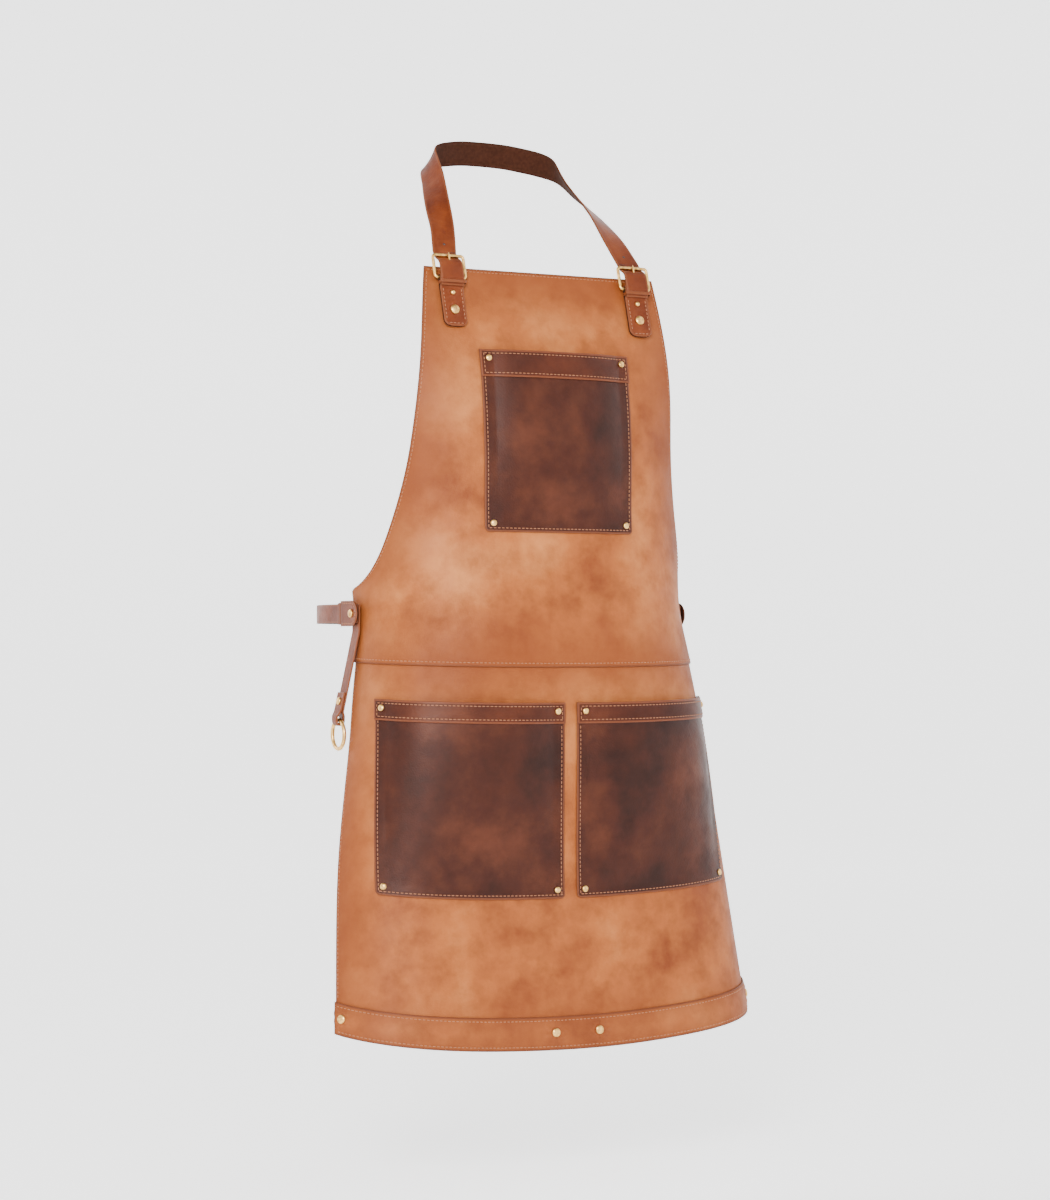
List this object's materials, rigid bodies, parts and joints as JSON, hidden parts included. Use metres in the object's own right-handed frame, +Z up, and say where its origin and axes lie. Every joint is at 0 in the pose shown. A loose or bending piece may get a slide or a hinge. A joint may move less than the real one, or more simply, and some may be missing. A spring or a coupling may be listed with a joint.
{
  "type": "bib apron",
  "caption": "Leather bib apron in its worn shape, with buckled neck strap, waist belt, chest and hip pockets, brass rivets and a side strap with a ring.",
  "frame": {"origin": "middle of the neck strap's inner face, where it rests on the nape", "axes": "+Z up as worn, the apron's outside faces -Y and +X is to the right as it is seen from the front"},
  "size_m": [0.5182, 0.3362, 1.0173],
  "materials": {
    "panel_leather": "full-grain tan, mottled, satin",
    "pocket_leather": "dark brown, satin",
    "band_leather": "red brown, satin",
    "strap_leather": "brown bridle leather, satin",
    "brass": "polished"
  },
  "bodies": {
    "apron": {"bib_panel": "panel_leather", "chest_pocket": "pocket_leather", "chest_pocket_band": "band_leather", "chest_pocket_rivet_lower_left": "brass", "chest_pocket_rivet_lower_right": "brass", "chest_pocket_rivet_upper_left": "brass", "chest_pocket_rivet_upper_right": "brass", "hem_band": "panel_leather", "hem_stud_1": "brass", "hem_stud_2": "brass", "hem_stud_3": "brass", "hem_stud_4": "brass", "left_buckle_frame": "brass", "left_buckle_keeper": "strap_leather", "left_buckle_prong": "brass", "left_buckle_tab": "strap_leather", "left_hip_pocket": "pocket_leather", "left_hip_pocket_band": "band_leather", "left_hip_pocket_rivet_lower_left": "brass", "left_hip_pocket_rivet_lower_right": "brass", "left_hip_pocket_rivet_upper_left": "brass", "left_hip_pocket_rivet_upper_right": "brass", "left_strap_end": "strap_leather", "left_tab_rivet": "brass", "left_tab_stud": "brass", "left_waist_rivet": "brass", "right_buckle_frame": "brass", "right_buckle_keeper": "strap_leather", "right_buckle_prong": "brass", "right_buckle_tab": "strap_leather", "right_hip_pocket": "pocket_leather", "right_hip_pocket_band": "band_leather", "right_hip_pocket_rivet_lower_left": "brass", "right_hip_pocket_rivet_lower_right": "brass", "right_hip_pocket_rivet_upper_left": "brass", "right_hip_pocket_rivet_upper_right": "brass", "right_strap_end": "strap_leather", "right_tab_rivet": "brass", "right_tab_stud": "brass", "right_waist_rivet": "brass", "skirt_panel": "panel_leather"},
    "neck_loop": {"neck_strap": "strap_leather"},
    "waist_belt": {"waist_strap": "strap_leather", "left_waist_tab": "strap_leather", "right_waist_tab": "strap_leather"},
    "left_keeper": {"left_waist_keeper": "strap_leather"},
    "right_keeper": {"right_waist_keeper": "strap_leather"},
    "towel_strap": {"towel_strap": "strap_leather", "towel_rivet": "brass"},
    "towel_ring": {"towel_ring": "brass"}
  },
  "joints": [
    {"name": "neck_loop_fold", "type": "hinge", "parent": "apron", "child": "neck_loop", "pos_m": [0, -0.1375, -0.13717], "axis": [1, 0, 0], "range_deg": [-60, 70]},
    {"name": "waist_belt_tilt", "type": "hinge", "parent": "apron", "child": "waist_belt", "pos_m": [0, -0.09684, -0.53141], "axis": [1, 0, 0], "range_deg": [-35, 25]},
    {"name": "left_keeper_slide", "type": "slide", "parent": "waist_belt", "child": "left_keeper", "axis": [0, 1, 0], "range_m": [-0.002, 0.008]},
    {"name": "right_keeper_slide", "type": "slide", "parent": "waist_belt", "child": "right_keeper", "axis": [0, 1, 0], "range_m": [-0.002, 0.008]},
    {"name": "towel_strap_swing", "type": "hinge", "parent": "apron", "child": "towel_strap", "pos_m": [-0.2016, -0.09684, -0.53141], "axis": [1, 0, 0], "range_deg": [-30, 30]},
    {"name": "towel_ring_swing", "type": "hinge", "parent": "towel_strap", "child": "towel_ring", "pos_m": [-0.22398, -0.09684, -0.64741], "axis": [0, 1, 0], "range_deg": [-4, 35]}
  ]
}
